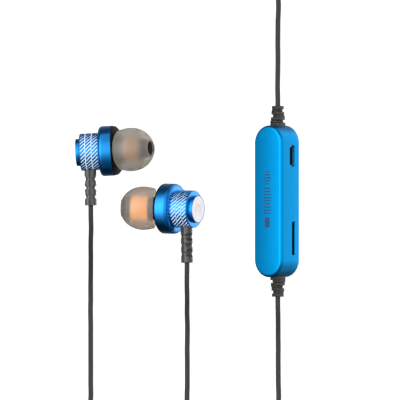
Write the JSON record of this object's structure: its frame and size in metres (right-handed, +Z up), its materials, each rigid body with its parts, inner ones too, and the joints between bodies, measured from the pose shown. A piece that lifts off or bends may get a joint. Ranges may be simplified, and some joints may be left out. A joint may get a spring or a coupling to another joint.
{
  "type": "neckband earphones",
  "caption": "In-ear earphones with knurled metal buds, silicone ear tips, braided cords and an inline control module with side ports and keys.",
  "frame": {"origin": "on the table under the middle of the buds and module, measured without the cords", "axes": "+Z up from the table, +Y along the module towards its charging port end, +X from the buds to the module"},
  "size_m": [0.1417, 0.1636, 0.0217],
  "materials": {
    "blue_aluminium": "satin anodised, with bright cut knurling",
    "spun_silver": "spun, bright",
    "black_plastic": "smooth moulded",
    "steel": "plated",
    "magnet": "nickel plated",
    "copper": "enamelled wire",
    "diaphragm_film": "thin film",
    "foam": "open cell foam",
    "circuit_board": "solder mask",
    "relief_rubber": "matt moulded",
    "grey_silicone": "translucent silicone",
    "orange_silicone": "translucent silicone",
    "module_blue": "satin anodised",
    "battery_foil": "foil pouch",
    "chip_plastic": "moulded",
    "clear_plastic": "clear",
    "plunger_plastic": "moulded",
    "cord_braid": "fine woven sleeve"
  },
  "bodies": {
    "headset": {"left_housing": "blue_aluminium", "left_end_disc": "spun_silver", "left_front_shell": "black_plastic", "left_nozzle_mesh": "steel", "left_driver_frame": "black_plastic", "left_driver_yoke": "steel", "left_driver_magnet": "magnet", "left_driver_plate": "steel", "left_voice_coil": "copper", "left_diaphragm": "diaphragm_film", "left_gasket": "foam", "left_terminal_board": "circuit_board", "left_cord_stop": "steel", "left_strain_relief": "relief_rubber", "right_housing": "blue_aluminium", "right_end_disc": "spun_silver", "right_front_shell": "black_plastic", "right_nozzle_mesh": "steel", "right_driver_frame": "black_plastic", "right_driver_yoke": "steel", "right_driver_magnet": "magnet", "right_driver_plate": "steel", "right_voice_coil": "copper", "right_diaphragm": "diaphragm_film", "right_gasket": "foam", "right_terminal_board": "circuit_board", "right_cord_stop": "steel", "right_strain_relief": "relief_rubber", "module_front": "module_blue", "module_back": "module_blue", "circuit_board": "circuit_board", "battery": "battery_foil", "battery_pad": "foam", "usb_shell": "steel", "usb_tongue": "black_plastic", "card_socket": "steel", "bluetooth_chip": "chip_plastic", "microphone": "steel", "status_light": "clear_plastic", "key_switches": "chip_plastic", "upper_relief": "relief_rubber", "lower_relief": "relief_rubber", "upper_cord_stop": "steel", "lower_cord_stop": "steel", "neck_cord": "cord_braid", "short_cord": "cord_braid"},
    "left_tip": {"left_ear_tip": "grey_silicone", "left_tip_core": "orange_silicone"},
    "right_tip": {"right_ear_tip": "grey_silicone", "right_tip_core": "orange_silicone"},
    "volume_up_button": {"volume_up_key": "module_blue", "volume_up_plunger": "plunger_plastic"},
    "call_button": {"call_key": "module_blue", "call_plunger": "plunger_plastic"},
    "volume_down_button": {"volume_down_key": "module_blue", "volume_down_plunger": "plunger_plastic"}
  },
  "joints": [
    {"name": "left_tip_pull", "type": "slide", "parent": "headset", "child": "left_tip", "axis": [0.973, 0.0526, -0.2246], "range_m": [0, 0.007]},
    {"name": "right_tip_pull", "type": "slide", "parent": "headset", "child": "right_tip", "axis": [-0.8289, 0.0182, 0.5591], "range_m": [0, 0.007]},
    {"name": "volume_up_press", "type": "slide", "parent": "headset", "child": "volume_up_button", "axis": [1, 0, 0], "range_m": [0, 0.0003], "stiffness_N_per_m": 4000, "springref_m": -0.0001},
    {"name": "call_press", "type": "slide", "parent": "headset", "child": "call_button", "axis": [1, 0, 0], "range_m": [0, 0.0003], "stiffness_N_per_m": 4000, "springref_m": -0.0001},
    {"name": "volume_down_press", "type": "slide", "parent": "headset", "child": "volume_down_button", "axis": [1, 0, 0], "range_m": [0, 0.0003], "stiffness_N_per_m": 4000, "springref_m": -0.0001}
  ]
}
